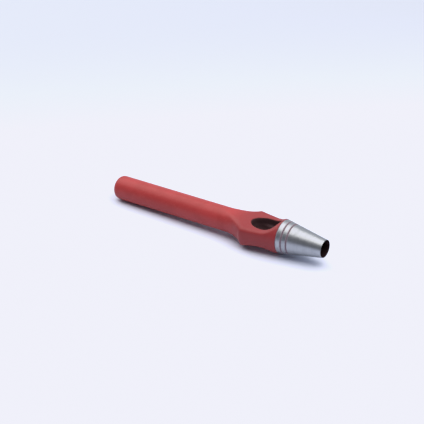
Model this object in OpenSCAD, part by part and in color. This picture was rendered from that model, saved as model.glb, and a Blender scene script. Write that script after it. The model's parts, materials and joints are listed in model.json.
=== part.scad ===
// Drive hole punch, 10 mm, with a screw-in cutting tube and a lock ring.
//
// The tool lies along X. The origin is the centre of the cutting edge and +X points
// out of the cutting mouth, so the steel runs along -X. +Z points out of the slug
// window. Lengths along the tool are distances behind the cutting edge.

/* [Cutting tube] */
// Diameter of the hole that the punch cuts
hole_d = 10; // [9.6:0.1:10.2]
// Width of the flat left on the cutting edge
edge_w = 0.12; // [0.08:0.02:0.3]
// Length of the parallel land behind the cutting edge
land_l = 8; // [6:0.5:12]
// Diameter of the relieved bore behind the land
relief_d = 10.6; // [10.4:0.1:10.8]
// Where the cutting tube's cone meets the lock ring
tube_l = 19.8; // [18:0.1:20.5]

/* [Lock ring] */
// Length of the lock ring
ring_l = 3.1; // [2.4:0.1:4]
// Depth of the chamfers that make the fine lines beside the ring
seam_d = 0.3; // [0.1:0.05:0.5]

/* [Thread] */
// Outside diameter of the spigot's thread
thread_d = 13.9; // [13.7:0.05:14]
// Radial clearance of the spigot in the socket and in the ring
thread_gap = 0.05; // [0.02:0.01:0.1]
// Depth of the socket in the shank's head
socket_l = 3.6; // [3.4:0.1:3.8]
// Room left between the spigot's end and the bottom of the socket
socket_room = 0.3; // [0.2:0.1:0.6]

/* [Head] */
// Diameter of the cone where the red body starts
nose_base_d = 19.4; // [19:0.1:20]
// Where the bright nose ends and the red body starts
paint_x = 26.2; // [25:0.1:27]
// Where the head is widest
shoulder_x = 46.8; // [45:0.2:49]
// Width of the head at the shoulder
shoulder_d = 25.4; // [24:0.2:26]
// Radius that rounds the shoulder
shoulder_round = 1.6; // [0.8:0.2:3]
// Length of the cove from the shoulder to the handle
cove_l = 15; // [12:0.5:18]
// Height of the top flat over the tool's axis
flat_top = 4.5; // [4:0.1:5]
// Where the top flat ends
flat_top_back = 43; // [42:0.2:46]
// Length of the slope from the top flat to the handle
top_slope_l = 20; // [14:0.5:21]
// Depth of the bottom flat under the tool's axis
flat_bottom = 6.2; // [6:0.1:6.6]
// Length of the slope from the bottom flat to the shoulder
bottom_slope_l = 4; // [3:0.5:8]
// Where the top flat starts
flat_top_front = 36.5; // [36:0.1:37]
// Radius of the ramp from the top flat up to the round end
top_ramp_r = 10.5; // [10:0.1:11]
// Where the bottom flat starts
flat_bottom_front = 36.6; // [36:0.2:38]
// Radius of the ramp from the bottom flat down to the round end
bottom_ramp_r = 8; // [7:0.2:9]

/* [Slug window] */
// Width of the window
window_w = 12.6; // [11.8:0.2:13]
// Where the window starts
window_front = 27.2; // [26.8:0.1:28]
// Where the window is widest
window_mid = 37.2; // [36:0.2:38]
// Where the window ends
window_back = 46.2; // [45:0.2:47]
// Diameter of the slug channel under the window
channel_d = 10.4; // [10.2:0.1:10.6]

/* [Handle] */
// Length of the whole tool
tool_l = 138; // [120:1:150]
// Diameter of the round handle
handle_d = 13.8; // [13:0.1:15]
// Radius of the striking end's edge
end_r = 3.8; // [2:0.1:4.5]

/* [Hidden] */
$fn = 96;

red = [0.66, 0.20, 0.19];
steel = [0.74, 0.75, 0.77];
// Length by which a cutter passes the surface that it cuts
over = 1;
ring_front = tube_l;
shank_front = tube_l + ring_l;
spigot_r = thread_d / 2;
socket_r = spigot_r + thread_gap;
spigot_back = shank_front + socket_l - socket_room;
mouth_r = hole_d / 2 + edge_w;
handle_r = handle_d / 2;
shoulder_r = shoulder_d / 2;
// The cove is an arc tangent to the handle and to the shoulder's rounding
cove_rise = shoulder_r - handle_r;
cove_r = (cove_rise * cove_rise + cove_l * cove_l) / (2 * cove_rise) - shoulder_round;
cove_end = shoulder_x + cove_l;
cove_angle = atan2(cove_l, cove_r + shoulder_round - cove_rise);
taper_angle = atan2(shoulder_r - nose_base_d / 2, shoulder_x - paint_x);

// Points along an arc from one angle to another
function arc(x, y, r, from, to, steps) =
    [for (i = [0:steps]) let (a = from + (to - from) * i / steps) [x + r * cos(a), y + r * sin(a)]];

// Outer radius of the nose's cone at a distance behind the cutting edge
function cone_r(at) = mouth_r + (nose_base_d / 2 - mouth_r) * at / paint_x;

// Turns a profile with radius along X and distance behind the edge along Y
module turned() rotate([0, -90, 0]) rotate_extrude() children();

// Round bore along the tool between two distances behind the cutting edge
module bore(r, front, back) translate([-back, 0, 0]) rotate([0, 90, 0]) cylinder(h = back - front, r = r);

// Pushes a side outline, distance behind the edge by height, through the tool's width
module across() rotate([90, 0, 0]) translate([0, 0, -shoulder_d]) mirror([1, 0, 0])
    linear_extrude(2 * shoulder_d) children();

// Cone of the nose between two distances, with a chamfer at each seam
module nose(front, back, front_seam, back_seam) turned() polygon([
    [0, front],
    [cone_r(front) - front_seam, front],
    [cone_r(front + front_seam), front + front_seam],
    [cone_r(back - back_seam), back - back_seam],
    [cone_r(back) - back_seam, back],
    [0, back]
]);

// Round blank of the head and the handle, before the flats are pressed
module blank() turned() polygon(concat(
    [[0, paint_x], [nose_base_d / 2, paint_x]],
    arc(shoulder_r - shoulder_round, shoulder_x, shoulder_round, -taper_angle, cove_angle, 6),
    arc(handle_r + cove_r, cove_end, cove_r, 180 + cove_angle, 180, 14),
    arc(handle_r - end_r, tool_l - end_r, end_r, 0, 90, 10),
    [[0, tool_l]]
));

// Space over a flat: up a ramp to the round end, and up a slope to the handle
module flat_space(height, front, back, ramp_r, slope_l) {
    end = max(cove_end, back + slope_l) + over;
    roof = max(shoulder_r, height + ramp_r) + over;
    across() polygon(concat(
        arc(front, height + ramp_r, ramp_r, 180, 270, 12),
        [
            [back, height],
            [back + slope_l, handle_r],
            [end, handle_r],
            [end, roof],
            [front - ramp_r, roof]
        ]
    ));
}

// Oval window from the tool's axis upwards: half an ellipse in front of its widest place and half behind
module window() {
    front_l = window_mid - window_front;
    back_l = window_back - window_mid;
    translate([-window_mid, 0, 0]) linear_extrude(shoulder_d) polygon([
        for (a = [0:5:355]) [(cos(a) > 0 ? front_l : back_l) * cos(a), window_w / 2 * sin(a)]
    ]);
}

module shank() {
    channel_back = window_back - channel_d / 2;
    difference() {
        union() {
            color(steel) nose(shank_front, paint_x, seam_d, 0);
            color(red) blank();
        }
        flat_space(flat_top, flat_top_front, flat_top_back, top_ramp_r, top_slope_l);
        mirror([0, 0, 1]) flat_space(flat_bottom, flat_bottom_front, shoulder_x - bottom_slope_l,
            bottom_ramp_r, bottom_slope_l);
        bore(socket_r, shank_front - over, shank_front + socket_l);
        bore(channel_d / 2, shank_front + socket_l - over, channel_back);
        translate([-channel_back, 0, 0]) sphere(d = channel_d);
        window();
    }
}

module lock_ring() color(steel) difference() {
    nose(ring_front, shank_front, seam_d, seam_d);
    bore(socket_r, ring_front - over, shank_front + over);
}

module cutting_tube() color(steel) difference() {
    union() {
        nose(0, ring_front, 0, seam_d);
        bore(spigot_r, ring_front - over, spigot_back);
    }
    bore(hole_d / 2, -over, land_l + over);
    bore(relief_d / 2, land_l, spigot_back + over);
}

shank();
lock_ring();
cutting_tube();
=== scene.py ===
"""Drive hole punch: a red painted shank with a round handle, a lock ring and a screw-in cutting tube.

The tool lies along X with its cutting edge at x = 0 and its steel at negative x. Lengths here are in
millimetres unless a name says otherwise, and s is the distance behind the cutting edge, so x = -s.
"""

import json
import math

import bmesh
import bpy
import numpy as np
from mathutils import Matrix, Vector


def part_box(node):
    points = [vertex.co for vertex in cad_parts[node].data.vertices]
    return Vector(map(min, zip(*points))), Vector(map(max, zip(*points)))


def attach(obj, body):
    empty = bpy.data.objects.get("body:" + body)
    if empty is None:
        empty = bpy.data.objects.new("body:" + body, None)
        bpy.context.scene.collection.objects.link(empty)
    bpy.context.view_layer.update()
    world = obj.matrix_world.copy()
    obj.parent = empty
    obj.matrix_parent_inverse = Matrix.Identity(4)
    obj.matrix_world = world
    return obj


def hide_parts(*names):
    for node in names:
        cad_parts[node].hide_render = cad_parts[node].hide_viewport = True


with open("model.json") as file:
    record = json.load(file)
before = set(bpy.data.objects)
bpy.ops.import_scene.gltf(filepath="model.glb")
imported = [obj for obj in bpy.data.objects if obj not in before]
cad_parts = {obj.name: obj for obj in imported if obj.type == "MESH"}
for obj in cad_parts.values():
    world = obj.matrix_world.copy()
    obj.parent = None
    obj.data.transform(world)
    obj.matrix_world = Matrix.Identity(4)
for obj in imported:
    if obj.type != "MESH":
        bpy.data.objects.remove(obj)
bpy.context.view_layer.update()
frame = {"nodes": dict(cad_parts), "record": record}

MM = 0.001


def front_of(node):
    return round(-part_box(node)[1].x / MM, 3)


def back_of(node):
    return round(-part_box(node)[0].x / MM, 3)


def mount(name):
    return next(m for m in frame["record"]["mounts"] if m["name"] == name)


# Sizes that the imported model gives
BORE_R = mount("cutting_bore")["dims"]["r_mm"]
LAND_L = mount("cutting_bore")["dims"]["length_mm"]
HANDLE_R = mount("handle_pin")["dims"]["r_mm"]
RING_FRONT = front_of("lock_ring")
SHANK_FRONT = back_of("lock_ring")
SPIGOT_BACK = back_of("cutting_tube")
TOOL_L = back_of("shank")
SHOULDER_R = round(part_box("shank")[1].y / MM, 3)

# Sizes that repeat the design. Stations end in S, FRONT, MID or BACK, and heights in Z
PAINT_S = 26.2
NOSE_BASE_R = 9.7
SHOULDER_S = 46.8
SHOULDER_ROUND = 1.6
COVE_L = 15.0
EDGE_W = 0.12
RELIEF_R = 5.3
SPIGOT_R = 6.95
SOCKET_R = SPIGOT_R + 0.05
SOCKET_BACK = SPIGOT_BACK + 0.3
WINDOW_R = 6.3
WINDOW_FRONT = 27.2
WINDOW_MID = 37.2
WINDOW_BACK = 46.2
CHANNEL_R = 5.2
CHANNEL_BACK = WINDOW_BACK - CHANNEL_R
TOP_Z = 4.5
TOP_FRONT = 36.5
TOP_RAMP_R = 10.5
TOP_BACK = 43.0
TOP_SLOPE_L = 20.0
BOTTOM_Z = 6.2
BOTTOM_FRONT = 36.6
BOTTOM_RAMP_R = 8.0
BOTTOM_SLOPE_L = 4.0
END_R = 3.8

# Edges of the pressed flats. The top's edge widens behind its flat, the bottom's sharpens towards the
# shoulder, and both fade before the cove ends. The slope up to the handle is slightly hollow
TOP_EDGE_R = 1.5
BOTTOM_EDGE_R = 2.6
EDGE_WIDEN = 0.45
EDGE_WIDEN_L = 7.0
EDGE_FADE = 0.85
EDGE_FADE_START = 8.0
EDGE_SHARPEN = 0.6
EDGE_SHARPEN_START = 2.0
SLOPE_CURVE = 1.1
SLOPE_RISE = 0.2

# Edges of the window, the channel and the socket. The window's rim grows from its front tip
RIM_R = 0.75
RIM_FRONT_R = 0.25
RIM_GROW_L = 4.0
BLEND_R = 0.8
WINDOW_FLOOR_R = 1.2
SOCKET_END_R = 0.2
SOCKET_MOUTH_R = 0.15

# Edge of the paint: how far it is rounded, and the middle of that rounding
PAINT_EDGE_R = 0.16
PAINT_EDGE_MIDDLE = (0.11, 0.05)

# Turned pieces: depth of the chamfers at the seams, rounding of corners, and room between two pieces
SEAM_D = 0.28
CORNER_R = 0.1
PIECE_GAP = 0.02

# Thread of the spigot and the socket: shares of half a pitch, and lengths from the shank's end
PITCH = 1.0
ROOT_R = 6.42
THREAD_PLAY = 0.1
ROOT_SHARE = 0.2
FLANK_SHARE = 0.55
SPIGOT_PLAY = 0.02
THREAD_START = 0.1
NECK_L = 0.55

# Meshes: lengths of steps and voxels, and counts
PROFILE_STEP = 0.05
SMOOTH_STEPS = 13
PAST_END = 8.0
VOXEL = 0.36
RELAX_ROUNDS = 8
RELAX_SHARE = 0.6
STEPS_ROUND = 192
ROW_L = 1.2

# Paint: linear colours with the share of each, roughness, and heights of its relief in millimetres
RED = (0.335, 0.036, 0.036, 1)
RED_DEEP = (0.30, 0.031, 0.030, 1)
RED_WORN = (0.335, 0.042, 0.040, 1)
RED_THIN = (0.42, 0.09, 0.09, 1)
THIN_SHARE = 0.5
# Darker red over the head: partly the paint's own tone, partly painted shade for the dim light on the
# head
RED_HEAD_TONE_AND_SHADE = (0.20, 0.024, 0.026, 1)
HEAD_TONE_AND_SHADE_SHARE = 0.75
RED_DUST = (0.55, 0.16, 0.15, 1)
DUST_SHARE = 0.35
CHANNEL_DARK = (0.062, 0.030, 0.033, 1)
PAINT_SPECULAR = 0.23
PAINT_ROUGHNESS = 0.42
CLOUD_ROUGHNESS = 0.16
BARE_ROUGHNESS = 0.2
PEEL_HEIGHT = 0.012
CLOUD_HEIGHT = 0.03
DUST_HEIGHT = 0.01

# Bright steel, with paint left in the seams: colours, shares, roughness and heights as above
STEEL_LIGHT = (0.33, 0.34, 0.355, 1)
STEEL_DARK = (0.26, 0.27, 0.285, 1)
STEEL_SMUDGE = (0.23, 0.24, 0.255, 1)
# Colour of the bore: partly dark scale on its steel, partly painted shade of the deep hole
BORE_SCALE_AND_SHADE = (0.10, 0.055, 0.062, 1)
SEAM_RED = (0.155, 0.080, 0.108, 1)
SEAM_SHARE = 0.75
SEAM_SPREAD = (0.40, 0.85)
STEEL_ROUGHNESS = 0.37
SMUDGE_ROUGHNESS = 0.2
COVER_ROUGHNESS = 0.25
STEEL_GRAIN = 0.3
FINE_HEIGHT = 0.004
COARSE_HEIGHT = 0.006

# Table, light and room. Places and sizes here are in metres. The room turns from front to back as the
# y part of a direction goes from the first to the second number of ROOM_TURN
TABLE_SIZE = 9.0
TABLE_LIGHT = (0.745, 0.79, 0.95, 1)
TABLE_DARK = (0.735, 0.78, 0.945, 1)
# Painted shade on the table: darker far behind the tool, where the key light falls off
TABLE_FAR_SHADE = (0.49, 0.53, 0.58, 1)
TABLE_ROUGHNESS = 0.75
TABLE_SPECULAR = 0.25
KEY_PLACE = (-0.07, 0.05, 1.0)
KEY_AIM = (-0.07, 0.05, 0)
KEY_SIZE = (4.0, 1.2)
KEY_COLOUR = (1.0, 0.985, 0.97)
KEY_POWER = 42.0
ROOM_FRONT = (0.19, 0.195, 0.225, 1)
ROOM_BACK = (0.80, 0.84, 0.93, 1)
ROOM_TURN = (-0.3, 0.9)

# Where the tool touches the table: stations and radii, in millimetres
HEAD_REST = (28.6, 10.05)
HANDLE_REST = (TOOL_L - END_R, HANDLE_R)

# Brightest red, green and blue that the picture reaches, and where they start to flatten
WHITE = (0.870, 0.875, 0.955)
KNEE = 0.78

# The camera's place in degrees and metres, and the point that it looks at
CAMERA_AZIMUTH = 34.44
CAMERA_ELEVATION = 28.84
CAMERA_ROLL = -1.40
CAMERA_DISTANCE = 1.0
CAMERA_LENS = 152.4
LOOK_AT = (-0.07265, -0.00072, 0.00205)


# ---------------------------------------------------------------- shape of the shank


def cone_r(s):
    """Outer radius of the nose at s."""
    mouth = BORE_R + EDGE_W
    return mouth + (NOSE_BASE_R - mouth) * s / PAINT_S


def blank_profile():
    """Stations s and outer radii of the round blank that the head is pressed from."""
    shoulder_steps = 12
    cove_steps = 40
    rise = SHOULDER_R - HANDLE_R
    cove = (rise * rise + COVE_L * COVE_L) / (2 * rise) - SHOULDER_ROUND
    end = SHOULDER_S + COVE_L
    join = math.atan2(COVE_L, cove + SHOULDER_ROUND - rise)
    taper = math.atan2(SHOULDER_R - NOSE_BASE_R, SHOULDER_S - PAINT_S)
    points = [(0.0, cone_r(0)), (PAINT_S, NOSE_BASE_R)]
    for i in range(shoulder_steps + 1):
        a = -taper + (join + taper) * i / shoulder_steps
        across = SHOULDER_R - SHOULDER_ROUND + SHOULDER_ROUND * math.cos(a)
        points.append((SHOULDER_S + SHOULDER_ROUND * math.sin(a), across))
    for i in range(1, cove_steps + 1):
        a = math.pi + join * (1 - i / cove_steps)
        points.append((end + cove * math.sin(a), HANDLE_R + cove + cove * math.cos(a)))
    points.append((TOOL_L + PAST_END, HANDLE_R))
    stations = np.arange(0, TOOL_L + PAST_END, PROFILE_STEP)
    radii = np.interp(stations, [p[0] for p in points], [p[1] for p in points])
    padded = np.pad(radii, SMOOTH_STEPS // 2, mode="edge")
    return stations, np.convolve(padded, np.ones(SMOOTH_STEPS) / SMOOTH_STEPS, mode="valid")


STATIONS, RADII = blank_profile()
SLOPES = np.gradient(RADII, STATIONS)


def rounded_max(a, b, r):
    """Where both bodies are, with the edge between them rounded to r."""
    u = np.maximum(a + r, 0)
    v = np.maximum(b + r, 0)
    return np.minimum(np.maximum(a, b), -r) + np.sqrt(u * u + v * v)


def rounded_min(a, b, r):
    """Where either body is, with the corner between them filled to r."""
    return -rounded_max(-a, -b, r)


def smoothstep(x, low, high):
    """0 below low, 1 above high, smooth between them."""
    t = np.clip((x - low) / (high - low), 0, 1)
    return t * t * (3 - 2 * t)


def over_flat(s, z, height, front, ramp_r, back, slope_l):
    """Distance of the steel from the open space over a pressed flat. Negative in the steel."""
    ramp = np.hypot(np.maximum(front - s, 0), np.maximum(height + ramp_r - z, 0)) - ramp_r
    t = (s - back) / slope_l
    climb = height + (HANDLE_R - height) * np.maximum(t, 0) ** SLOPE_CURVE
    climb += slope_l * SLOPE_RISE * np.maximum(t - 1, 0)
    return -np.maximum(ramp, climb - z)


def outside_oval(s, y):
    """Distance outside the window's oval, half an ellipse on each side of its widest place."""
    half = np.where(s < WINDOW_MID, WINDOW_MID - WINDOW_FRONT, WINDOW_BACK - WINDOW_MID)
    u, v = (s - WINDOW_MID) / half, y / WINDOW_R
    k = np.maximum(np.hypot(u, v), 0.01)
    return (k - 1) * k / np.hypot(u / half, v / WINDOW_R).clip(1e-4)


def steel(p):
    """Distance from the shank's surface for points p of (s, y, z). Negative inside the steel."""
    s, y, z = p[:, 0], p[:, 1], p[:, 2]
    r = np.hypot(y, z)
    lean = np.sqrt(1 + np.interp(s, STATIONS, SLOPES) ** 2)
    body = (r - np.interp(s, STATIONS, RADII)) / lean
    body = rounded_max(body, s - TOOL_L, END_R)
    cove_end = SHOULDER_S + COVE_L
    top = over_flat(s, z, TOP_Z, TOP_FRONT, TOP_RAMP_R, TOP_BACK, TOP_SLOPE_L)
    widen = 1 + EDGE_WIDEN * smoothstep(s, TOP_BACK, TOP_BACK + EDGE_WIDEN_L)
    fade = 1 - EDGE_FADE * smoothstep(s, TOP_BACK + EDGE_FADE_START, cove_end)
    body = rounded_max(body, top, TOP_EDGE_R * widen * fade)
    slope_start = SHOULDER_S - BOTTOM_SLOPE_L
    low = over_flat(s, -z, BOTTOM_Z, BOTTOM_FRONT, BOTTOM_RAMP_R, slope_start, BOTTOM_SLOPE_L)
    sharpen = 1 - EDGE_SHARPEN * smoothstep(s, BOTTOM_FRONT + EDGE_SHARPEN_START, SHOULDER_S)
    body = rounded_max(body, low, BOTTOM_EDGE_R * sharpen * fade)
    window = rounded_max(outside_oval(s, y), -z, WINDOW_FLOOR_R)
    channel = np.hypot(np.maximum(s - CHANNEL_BACK, 0), r) - CHANNEL_R
    opening = rounded_min(window, channel, BLEND_R)
    socket = rounded_max(r - SOCKET_R, s - SOCKET_BACK, SOCKET_END_R)
    grown = smoothstep(s, WINDOW_FRONT, WINDOW_FRONT + RIM_GROW_L)
    rim = RIM_FRONT_R + (RIM_R - RIM_FRONT_R) * grown
    body = rounded_max(body, -opening, rim)
    return rounded_max(body, -socket, SOCKET_MOUTH_R)


def surface_normal(p):
    """The steel's distance at p, its direction and how fast it grows."""
    step = 0.02
    slowest = 0.3
    gradient = np.empty_like(p)
    for axis in range(3):
        move = np.zeros(3)
        move[axis] = step
        gradient[:, axis] = (steel(p + move) - steel(p - move)) / (2 * step)
    size = np.maximum(np.linalg.norm(gradient, axis=1), slowest)
    return steel(p), gradient / size[:, None], size


def settle(p, rounds):
    """Moves points onto the steel's surface."""
    longest = 0.4
    for _ in range(rounds):
        value, normal, size = surface_normal(p)
        p = p - normal * np.clip(value / size, -longest, longest)[:, None]
    return p


# ---------------------------------------------------------------- meshes


def new_object(name, data):
    obj = bpy.data.objects.new(name, data)
    bpy.context.scene.collection.objects.link(obj)
    return obj


def finish_mesh(obj, sharp_angle):
    """Smooth shading, with edges sharper than sharp_angle degrees kept."""
    mesh = obj.data
    mesh.polygons.foreach_set("use_smooth", [True] * len(mesh.polygons))
    mesh.set_sharp_from_angle(angle=math.radians(sharp_angle))
    mesh.update()
    return obj


def around(s, r, angle):
    """Point of the frame at station s, radius r and an angle round the axis."""
    return Vector((-s, r * math.cos(angle), r * math.sin(angle))) * MM


def remeshed_shank():
    """An even mesh of the shank's CAD node."""
    obj = new_object("shank_body", frame["nodes"]["shank"].data.copy())
    remesh = obj.modifiers.new("remesh", "REMESH")
    remesh.mode = "VOXEL"
    remesh.voxel_size = VOXEL * MM
    graph = bpy.context.evaluated_depsgraph_get()
    mesh = bpy.data.meshes.new_from_object(obj.evaluated_get(graph))
    obj.modifiers.clear()
    obj.data = mesh
    mesh.materials.clear()
    return obj


def relax(mesh):
    """Puts the vertices on the steel's surface and evens them out along it."""
    edges = np.empty(len(mesh.edges) * 2, np.int64)
    mesh.edges.foreach_get("vertices", edges)
    a, b = edges.reshape(-1, 2).T
    co = np.empty(len(mesh.vertices) * 3)
    mesh.vertices.foreach_get("co", co)
    p = settle(co.reshape(-1, 3) * (-1, 1, 1) / MM, rounds=6)
    count = np.bincount(a, minlength=len(p)) + np.bincount(b, minlength=len(p))
    for _ in range(RELAX_ROUNDS):
        mean = np.empty_like(p)
        for axis in range(3):
            total = np.bincount(a, p[b, axis], len(p)) + np.bincount(b, p[a, axis], len(p))
            mean[:, axis] = total / count
        normal = surface_normal(p)[1]
        move = mean - p
        move -= normal * np.sum(move * normal, axis=1)[:, None]
        p = settle(p + RELAX_SHARE * move, rounds=2)
    mesh.vertices.foreach_set("co", (p * (-1, 1, 1) * MM).ravel())
    mesh.update()


def open_loop(bm, r_low, r_high):
    """Edges of the open border between two radii."""
    found = []
    for e in bm.edges:
        if len(e.link_faces) == 1:
            radii = [math.hypot(v.co.y, v.co.z) / MM for v in e.verts]
            if r_low < min(radii) and max(radii) < r_high:
                found.append(e)
    return found


def round_loop(edges, s, r):
    """Puts a loop's vertices on a circle."""
    for v in {v for e in edges for v in e.verts}:
        v.co = around(s, r, math.atan2(v.co.z, v.co.y))


def carry_loop(bm, edges, s, r):
    """Extrudes a round loop of edges to a new station and radius."""
    made = bmesh.ops.extrude_edge_only(bm, edges=edges)["geom"]
    new_verts = {v for v in made if isinstance(v, bmesh.types.BMVert)}
    loop = [e for e in made if isinstance(e, bmesh.types.BMEdge) and set(e.verts) <= new_verts]
    round_loop(loop, s, r)
    return loop


def shank_body():
    """Painted head and handle, from the paint's front edge back."""
    obj = remeshed_shank()
    relax(obj.data)
    snap = 0.12 * MM
    merge = 0.1 * MM
    cut = PAINT_S + PAINT_EDGE_R
    bm = bmesh.new()
    bm.from_mesh(obj.data)
    bmesh.ops.bisect_plane(
        bm, geom=bm.verts[:] + bm.edges[:] + bm.faces[:], dist=snap, clear_outer=True,
        plane_co=(-cut * MM, 0, 0), plane_no=(1, 0, 0), use_snap_center=True,
    )
    border = [v for v in bm.verts if any(len(e.link_faces) == 1 for e in v.link_edges)]
    bmesh.ops.remove_doubles(bm, verts=border, dist=merge)
    middle = (SOCKET_R + NOSE_BASE_R) / 2
    outer = open_loop(bm, middle, 2 * SHOULDER_R)
    inner = open_loop(bm, 0, middle)
    round_loop(outer, cut, cone_r(cut))
    round_loop(inner, cut, SOCKET_R)
    outer = carry_loop(bm, outer, cut - PAINT_EDGE_MIDDLE[0], cone_r(cut) - PAINT_EDGE_MIDDLE[1])
    outer = carry_loop(bm, outer, PAINT_S, cone_r(cut) - PAINT_EDGE_R)
    inner = carry_loop(bm, inner, PAINT_S, SOCKET_R)
    bmesh.ops.triangle_fill(bm, edges=outer + inner, use_beauty=True)
    bmesh.ops.recalc_face_normals(bm, faces=bm.faces[:])
    bm.to_mesh(obj.data)
    bm.free()
    return finish_mesh(obj, sharp_angle=40)


TURN = np.arange(STEPS_ROUND) / STEPS_ROUND


def turned(name, rows):
    """A closed turned piece. A row is (s, r), or (stations, radii, skip) for a thread, where skip says
    how many rows on the row is that meets this one where the turn closes."""
    same = 1e-5 * MM
    merge = 2e-4 * MM
    bm = bmesh.new()
    angles = TURN * 2 * math.pi
    rings = []
    for row in rows:
        s = np.broadcast_to(row[0], STEPS_ROUND)
        r = np.broadcast_to(row[1], STEPS_ROUND)
        rings.append([bm.verts.new(around(s[i], r[i], angles[i])) for i in range(STEPS_ROUND)])
    closing = [rings[j + (row[2] if len(row) == 3 else 0)][0] for j, row in enumerate(rows)]
    for j in range(len(rings)):
        k = (j + 1) % len(rings)
        low = rings[j] + [closing[j]]
        high = rings[k] + [closing[k]]
        for i in range(STEPS_ROUND):
            corners = []
            for v in (low[i], low[i + 1], high[i + 1], high[i]):
                if all((v.co - c.co).length > same for c in corners):
                    corners.append(v)
            if len(corners) > 2:
                bm.faces.new(corners)
    bmesh.ops.remove_doubles(bm, verts=bm.verts[:], dist=merge)
    loose = [v for v in bm.verts if not v.link_faces]
    bmesh.ops.delete(bm, geom=loose, context="VERTS")
    bmesh.ops.recalc_face_normals(bm, faces=bm.faces[:])
    mesh = bpy.data.meshes.new(name)
    bm.to_mesh(mesh)
    bm.free()
    return finish_mesh(new_object(name, mesh), sharp_angle=28)


def rounded(points):
    """Rows along a profile of (s, r, corner radius), with each corner rounded and long runs divided."""
    steps = 4
    rows = []
    for i, (s, r, size) in enumerate(points):
        if size == 0 or i in (0, len(points) - 1):
            rows.append((s, r))
            continue
        here = Vector((s, r))
        before = Vector(points[i - 1][:2]) - here
        after = Vector(points[i + 1][:2]) - here
        start = here + before.normalized() * size
        end = here + after.normalized() * size
        for k in range(steps + 1):
            t = k / steps
            rows.append(tuple(start * (1 - t) ** 2 + here * 2 * t * (1 - t) + end * t * t))
    full = [rows[0]]
    for a, b in zip(rows, rows[1:]):
        count = max(1, round(math.hypot(b[0] - a[0], b[1] - a[1]) / ROW_L))
        full += [tuple(np.add(a, np.subtract(b, a) * i / count)) for i in range(1, count + 1)]
    return full


def thread_height(s):
    """0 at the root and 1 at the crest of a right-hand thread, at stations s round the turn."""
    phase = ((s - SHANK_FRONT) / PITCH + TURN) % 1
    return np.clip((np.abs(2 * phase - 1) - ROOT_SHARE) / FLANK_SHARE, 0, 1)


def thread_rows(start, end, radius_at):
    """Rows of a thread between two stations. radius_at gives the radii for stations round the turn."""
    steps = 16
    rows = []
    for j in range(int(steps * ((end - start) / PITCH + 1)) + 2):
        s = np.clip(start + PITCH * (j / steps - TURN), start, end)
        rows.append((s, radius_at(s), -min(j, steps)))
    return rows


def male_radius(s):
    """Radius of the spigot's thread at stations s round the turn."""
    return ROOT_R + (SPIGOT_R - SPIGOT_PLAY - ROOT_R) * thread_height(s)


def nose_band():
    """Bare machined front of the shank, with the socket's thread inside it."""
    front, back = SHANK_FRONT, PAINT_S - PIECE_GAP
    mouth = SOCKET_R + 0.4
    edge = 0.2

    def radius_at(s):
        thread = np.minimum(SOCKET_R, male_radius(s) + THREAD_PLAY)
        ends = np.maximum(mouth - (s - front), SOCKET_R - (back - s))
        return np.maximum(thread, ends)

    rows = rounded([
        (front, mouth + 0.2, 0), (front, cone_r(front) - SEAM_D, CORNER_R),
        (front + SEAM_D, cone_r(front + SEAM_D), CORNER_R),
        (back - edge, cone_r(back - edge), CORNER_R),
        (back, cone_r(back) - edge, CORNER_R / 2), (back, SOCKET_R + 0.3, 0),
    ])
    inside = [(s, r, -skip) for s, r, skip in reversed(thread_rows(front, back, radius_at))]
    return turned("shank_nose_band", rows + inside)


def lock_ring():
    """Plain ring, chamfered at both seams and at both ends of its bore."""
    front, back = RING_FRONT + PIECE_GAP, SHANK_FRONT - PIECE_GAP
    bore_edge = 0.3
    points = [
        (front, SOCKET_R + bore_edge, 0), (front, cone_r(front) - SEAM_D, CORNER_R),
        (front + SEAM_D, cone_r(front + SEAM_D), CORNER_R),
        (back - SEAM_D, cone_r(back - SEAM_D), CORNER_R),
        (back, cone_r(back) - SEAM_D, CORNER_R), (back, SOCKET_R + bore_edge, 0),
        (back - bore_edge, SOCKET_R, 0), (front + bore_edge, SOCKET_R, 0),
    ]
    return turned("lock_ring_body", rounded(points))


def cutting_tube():
    """Cone with the cutting edge, and the threaded spigot behind it."""
    back = RING_FRONT
    neck = SPIGOT_R - SPIGOT_PLAY
    start = SHANK_FRONT + THREAD_START
    end_r = ROOT_R - 0.1
    edge = 0.02
    bevel_end = 1.0

    def radius_at(s):
        ends = np.minimum(ROOT_R + (s - start), end_r + (SPIGOT_BACK - s))
        return np.minimum(male_radius(s), ends)

    outside = rounded([
        (0, BORE_R + EDGE_W / 2, 0), (0, BORE_R + EDGE_W - edge, 0.03),
        (bevel_end, cone_r(bevel_end), CORNER_R),
        (back - SEAM_D, cone_r(back - SEAM_D), CORNER_R), (back, cone_r(back) - SEAM_D, CORNER_R),
        (back, neck, CORNER_R / 2), (start - NECK_L, neck, CORNER_R / 2), (start, ROOT_R, 0),
    ])
    inside = rounded([
        (SPIGOT_BACK, end_r, 0), (SPIGOT_BACK, RELIEF_R + 0.2, 0),
        (SPIGOT_BACK - 0.2, RELIEF_R, 0), (LAND_L + 0.5, RELIEF_R, 0),
        (LAND_L, BORE_R, CORNER_R), (0.03, BORE_R, edge), (0, BORE_R + edge, 0),
    ])
    thread = thread_rows(start, SPIGOT_BACK, radius_at)
    return turned("cutting_tube_body", outside + thread + inside)


# ---------------------------------------------------------------- materials


def node_tools(name):
    """A new material with its node tree and its surface shader."""
    material = bpy.data.materials.new(name)
    material.use_nodes = True
    tree = material.node_tree
    shader = tree.nodes.get("Principled BSDF")
    return material, tree, shader


def feed(tree, socket, value):
    """Links a socket to another node's output, or sets it."""
    if isinstance(value, bpy.types.NodeSocket):
        tree.links.new(value, socket)
    else:
        socket.default_value = value


def add(tree, kind, inputs=None, **settings):
    """A new node with its settings, and its inputs set or linked."""
    node = tree.nodes.new(kind)
    for key, value in settings.items():
        setattr(node, key, value)
    for key, value in (inputs or {}).items():
        feed(tree, node.inputs[key], value)
    return node


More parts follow.
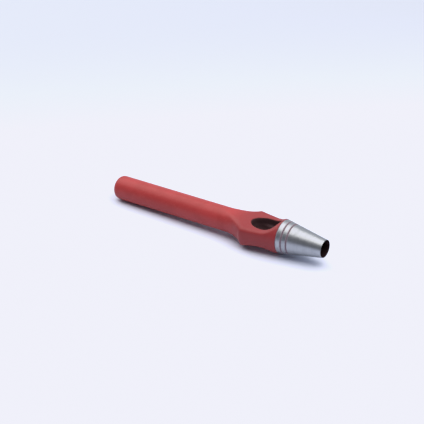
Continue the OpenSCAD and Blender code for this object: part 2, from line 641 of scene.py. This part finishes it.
def math_node(tree, operation, a, b=0.0):
    return add(tree, "ShaderNodeMath", {0: a, 1: b}, operation=operation).outputs[0]


def plus(tree, a, b):
    return math_node(tree, "ADD", a, b)


def minus(tree, a, b):
    return math_node(tree, "SUBTRACT", a, b)


def times(tree, a, b):
    return math_node(tree, "MULTIPLY", a, b)


def larger(tree, a, b):
    return math_node(tree, "MAXIMUM", a, b)


def hypotenuse(tree, a, b):
    squares = plus(tree, times(tree, a, a), times(tree, b, b))
    return math_node(tree, "SQRT", squares)


def ramp_between(tree, value, low, high):
    """0 below low, 1 above high, smooth between them."""
    node = add(tree, "ShaderNodeMapRange", {0: value, 1: low, 2: high}, interpolation_type="SMOOTHSTEP")
    return node.outputs[0]


def drop_between(tree, value, low, high):
    """1 below low, 0 above high, smooth between them."""
    return minus(tree, 1.0, ramp_between(tree, value, low, high))


def mixed(tree, share, a, b):
    """Colour a, turning to colour b as share goes from 0 to 1."""
    node = add(tree, "ShaderNodeMix", {0: share, 6: a, 7: b}, data_type="RGBA")
    return node.outputs[2]


def place(tree, scale=(1, 1, 1)):
    """The object's own coordinates in millimetres, stretched by scale."""
    coordinates = add(tree, "ShaderNodeTexCoord").outputs["Object"]
    size = [k / MM for k in scale]
    return add(tree, "ShaderNodeMapping", {"Vector": coordinates, "Scale": size}).outputs[0]


def place_parts(tree, spot):
    """Station s, y and z of a place."""
    x, y, z = add(tree, "ShaderNodeSeparateXYZ", {0: spot}).outputs[:3]
    return times(tree, x, -1.0), y, z


def noise(tree, vector, scale, detail=3.0, roughness=0.5):
    inputs = {"Vector": vector, "Scale": scale, "Detail": detail, "Roughness": roughness}
    return add(tree, "ShaderNodeTexNoise", inputs).outputs[0]


def bump(tree, height):
    """The normal over a height in millimetres."""
    inputs = {"Height": height, "Distance": MM, "Strength": 1.0}
    return add(tree, "ShaderNodeBump", inputs).outputs[0]


def window_distance(tree, s, y):
    """Distance from the middle of the window's oval, scaled so that the oval lies at WINDOW_R."""
    beyond = minus(tree, s, WINDOW_MID)
    in_front = math_node(tree, "DIVIDE", beyond, (WINDOW_MID - WINDOW_FRONT) / WINDOW_R)
    behind = math_node(tree, "DIVIDE", beyond, (WINDOW_BACK - WINDOW_MID) / WINDOW_R)
    along = larger(tree, behind, times(tree, in_front, -1.0))
    return hypotenuse(tree, along, y)


def unpainted(tree, spot, patches):
    """1 on the walls of the window and the channel, where no paint reaches, and 0 outside."""
    wander = 0.25
    wider_below = 0.35
    s, y, z = place_parts(tree, spot)
    across = plus(tree, window_distance(tree, s, y), times(tree, patches, wander))
    below_rim = drop_between(tree, z, TOP_Z - 2.5, TOP_Z - 1.5)
    across = minus(tree, across, times(tree, below_rim, wider_below))
    wall = drop_between(tree, across, WINDOW_R + 0.14, WINDOW_R + 0.34)
    above_floor = ramp_between(tree, z, -2.5, -1.5)
    channel = drop_between(tree, hypotenuse(tree, y, z), CHANNEL_R + 0.3, CHANNEL_R + 0.8)
    in_head = math_node(tree, "LESS_THAN", s, WINDOW_BACK + 1)
    under_rim = math_node(tree, "LESS_THAN", z, TOP_Z - 0.4)
    channel = times(tree, channel, times(tree, in_head, under_rim))
    return larger(tree, times(tree, wall, above_floor), channel)


def red_paint():
    """Satin enamel over a forged surface: faint orange peel, uneven film and thin edges, and a darker
    head that is partly the paint's own tone and partly painted shade.
    """
    material, tree, shader = node_tools("red_paint")
    spot = place(tree)
    broad = noise(tree, spot, scale=0.11, detail=2.0)
    cloudy = noise(tree, spot, scale=0.55, detail=4.0, roughness=0.6)
    peel = noise(tree, spot, scale=1.6, detail=2.0)
    dust = noise(tree, spot, scale=3.5, detail=1.0)
    colour = mixed(tree, ramp_between(tree, broad, 0.35, 0.65), RED, RED_DEEP)
    colour = mixed(tree, ramp_between(tree, cloudy, 0.5, 0.75), colour, RED_WORN)
    # The head's paint is darker: partly the paint's own tone, partly painted shade for the dim light on
    # the head
    head = drop_between(tree, place_parts(tree, spot)[0], SHOULDER_S, SHOULDER_S + COVE_L)
    colour = mixed(tree, times(tree, head, HEAD_TONE_AND_SHADE_SHARE), colour, RED_HEAD_TONE_AND_SHADE)
    edge = add(tree, "ShaderNodeNewGeometry").outputs["Pointiness"]
    thin = ramp_between(tree, plus(tree, edge, times(tree, cloudy, 0.04)), 0.55, 0.64)
    colour = mixed(tree, times(tree, thin, THIN_SHARE), colour, RED_THIN)
    speck = ramp_between(tree, dust, 0.72, 0.76)
    colour = mixed(tree, times(tree, speck, DUST_SHARE), colour, RED_DUST)
    bare = unpainted(tree, spot, cloudy)
    colour = mixed(tree, bare, colour, CHANNEL_DARK)
    rough = plus(tree, times(tree, cloudy, CLOUD_ROUGHNESS), PAINT_ROUGHNESS - CLOUD_ROUGHNESS / 2)
    rough = plus(tree, rough, times(tree, bare, BARE_ROUGHNESS))
    height = plus(tree, times(tree, peel, PEEL_HEIGHT), times(tree, cloudy, CLOUD_HEIGHT))
    height = plus(tree, height, times(tree, speck, DUST_HEIGHT))
    feed(tree, shader.inputs["Base Color"], colour)
    feed(tree, shader.inputs["Roughness"], rough)
    feed(tree, shader.inputs["Normal"], bump(tree, height))
    feed(tree, shader.inputs["Specular IOR Level"], PAINT_SPECULAR)
    return material


def seam_paint(tree, s, r, smudge):
    """How far paint covers the steel beside the seams, on the outside of the nose."""
    wander = 0.22
    seams = 0.0
    for seam in (RING_FRONT, SHANK_FRONT, PAINT_S):
        away = math_node(tree, "ABSOLUTE", minus(tree, s, seam))
        away = plus(tree, away, times(tree, smudge, wander))
        seams = larger(tree, drop_between(tree, away, *SEAM_SPREAD), seams)
    outside = ramp_between(tree, r, SOCKET_R + 0.3, SOCKET_R + 0.6)
    return times(tree, times(tree, seams, outside), SEAM_SHARE)


def bore_wall(tree, s, r):
    """1 on the walls of the cutting tube's bore and 0 elsewhere."""
    near = 0.03
    land = math_node(tree, "LESS_THAN", r, BORE_R + near)
    relief = math_node(tree, "LESS_THAN", r, RELIEF_R + near)
    behind_land = math_node(tree, "GREATER_THAN", s, LAND_L - 0.5)
    return larger(tree, land, times(tree, relief, behind_land))


def ground_steel():
    """Steel turned and ground round the axis, with paint left in the seams and a bore darkened partly by
    dark scale and partly by painted shade.
    """
    material, tree, shader = node_tools("ground_steel")
    spot = place(tree)
    s, y, z = place_parts(tree, spot)
    r = hypotenuse(tree, y, z)
    fine = noise(tree, place(tree, (9.0, 0.12, 0.12)), scale=1.0, roughness=0.7)
    coarse = noise(tree, place(tree, (1.6, 0.05, 0.05)), scale=1.0, roughness=0.6)
    smudge = noise(tree, spot, scale=0.28, detail=4.0, roughness=0.6)
    seams = seam_paint(tree, s, r, smudge)
    inside = bore_wall(tree, s, r)
    colour = mixed(tree, coarse, STEEL_DARK, STEEL_LIGHT)
    colour = mixed(tree, ramp_between(tree, smudge, 0.5, 0.8), colour, STEEL_SMUDGE)
    colour = mixed(tree, seams, colour, SEAM_RED)
    # The bore's walls are darkened: partly dark scale, partly painted shade of the deep hole
    colour = mixed(tree, inside, colour, BORE_SCALE_AND_SHADE)
    covered = larger(tree, seams, times(tree, inside, 0.6))
    rough = plus(tree, times(tree, smudge, SMUDGE_ROUGHNESS), STEEL_ROUGHNESS - SMUDGE_ROUGHNESS / 2)
    rough = plus(tree, rough, times(tree, covered, COVER_ROUGHNESS))
    height = plus(tree, times(tree, fine, FINE_HEIGHT), times(tree, coarse, COARSE_HEIGHT))
    tangent = add(tree, "ShaderNodeTangent", direction_type="RADIAL", axis="X").outputs[0]
    feed(tree, shader.inputs["Base Color"], colour)
    feed(tree, shader.inputs["Metallic"], minus(tree, 1.0, times(tree, seams, 0.9)))
    feed(tree, shader.inputs["Roughness"], rough)
    feed(tree, shader.inputs["Normal"], bump(tree, height))
    feed(tree, shader.inputs["Tangent"], tangent)
    feed(tree, shader.inputs["Anisotropic"], STEEL_GRAIN)
    return material


def table_top():
    """Plain pale sheet under the tool, with painted shade making it a little darker far behind it."""
    material, tree, shader = node_tools("table_sheet")
    spot = place(tree)
    s, y, _ = place_parts(tree, spot)
    colour = mixed(tree, noise(tree, spot, scale=0.01, detail=2.0), TABLE_LIGHT, TABLE_DARK)
    # Painted shade: the table darkens far behind the tool, where the key light falls off
    far = ramp_between(tree, plus(tree, y, s), -100.0, 450.0)
    feed(tree, shader.inputs["Base Color"], mixed(tree, far, colour, TABLE_FAR_SHADE))
    feed(tree, shader.inputs["Roughness"], TABLE_ROUGHNESS)
    feed(tree, shader.inputs["Specular IOR Level"], TABLE_SPECULAR)
    return material


# ---------------------------------------------------------------- stage


def table():
    """The floor, tilted as the tool lies on it: on the round end of its head and on its handle's end."""
    lean = math.atan2(HEAD_REST[1] - HANDLE_REST[1], HANDLE_REST[0] - HEAD_REST[0])
    half = TABLE_SIZE / 2
    corners = [(-half, -half, 0), (half, -half, 0), (half, half, 0), (-half, half, 0)]
    mesh = bpy.data.meshes.new("table_sheet")
    mesh.from_pydata(corners, [], [(0, 1, 2, 3)])
    obj = new_object("table_sheet", mesh)
    touch = Vector((-HEAD_REST[0], 0, -HEAD_REST[1])) * MM
    obj.matrix_world = Matrix.Translation(touch) @ Matrix.Rotation(lean, 4, "Y")
    obj.data.materials.append(table_top())


def key_light():
    """A long soft box over the tool."""
    light = bpy.data.lights.new("key_light", "AREA")
    light.shape = "RECTANGLE"
    light.size, light.size_y = KEY_SIZE
    light.energy = KEY_POWER
    light.color = KEY_COLOUR
    obj = new_object("key_light", light)
    obj.location = KEY_PLACE
    obj.rotation_mode = "QUATERNION"
    obj.rotation_quaternion = (Vector(KEY_AIM) - Vector(KEY_PLACE)).to_track_quat("-Z", "Y")


def room():
    """Light from all round, dim in front of the tool and bright behind it."""
    world = bpy.data.worlds.new("room")
    bpy.context.scene.world = world
    world.use_nodes = True
    tree = world.node_tree
    direction = add(tree, "ShaderNodeTexCoord").outputs["Generated"]
    y = add(tree, "ShaderNodeSeparateXYZ", {0: direction}).outputs[1]
    colour = mixed(tree, ramp_between(tree, y, *ROOM_TURN), ROOM_FRONT, ROOM_BACK)
    background = tree.nodes["Background"]
    feed(tree, background.inputs["Color"], colour)
    feed(tree, background.inputs["Strength"], 1.0)


def camera():
    data = bpy.data.cameras.new("camera")
    data.lens = CAMERA_LENS
    obj = new_object("camera", data)
    a, e = math.radians(CAMERA_AZIMUTH), math.radians(CAMERA_ELEVATION)
    back = Vector((math.sin(a) * math.cos(e), -math.cos(a) * math.cos(e), math.sin(e)))
    turn = (-back).to_track_quat("-Z", "Y").to_matrix().to_4x4()
    roll = Matrix.Rotation(math.radians(CAMERA_ROLL), 4, "Z")
    obj.matrix_world = Matrix.Translation(Vector(LOOK_AT) + back * CAMERA_DISTANCE) @ turn @ roll
    bpy.context.scene.camera = obj


def develop():
    """Tone of the picture: true colours, and a slightly overexposed table that stays pale lavender."""
    settings = bpy.context.scene.view_settings
    settings.view_transform = "Standard"
    settings.use_curve_mapping = True
    mapping = settings.curve_mapping
    mapping.extend = "HORIZONTAL"
    for curve, white in zip(mapping.curves, WHITE):
        knee = white * KNEE
        curve.points[0].location = (0, 0)
        curve.points[1].location = (1, white)
        curve.points.new(knee, knee)
        for point in curve.points:
            point.handle_type = "VECTOR"
    mapping.update()


# ---------------------------------------------------------------- assembly


def dress(obj, material, body, node):
    """Gives a piece its finish and its body, and hides the CAD node that it stands for."""
    obj.data.materials.append(material)
    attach(obj, body)
    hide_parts(node)


camera()
key_light()
room()
table()
paint = red_paint()
bright = ground_steel()
dress(shank_body(), paint, "handle", "shank")
dress(nose_band(), bright, "handle", "shank")
dress(lock_ring(), bright, "ring", "lock_ring")
dress(cutting_tube(), bright, "tube", "cutting_tube")
develop()
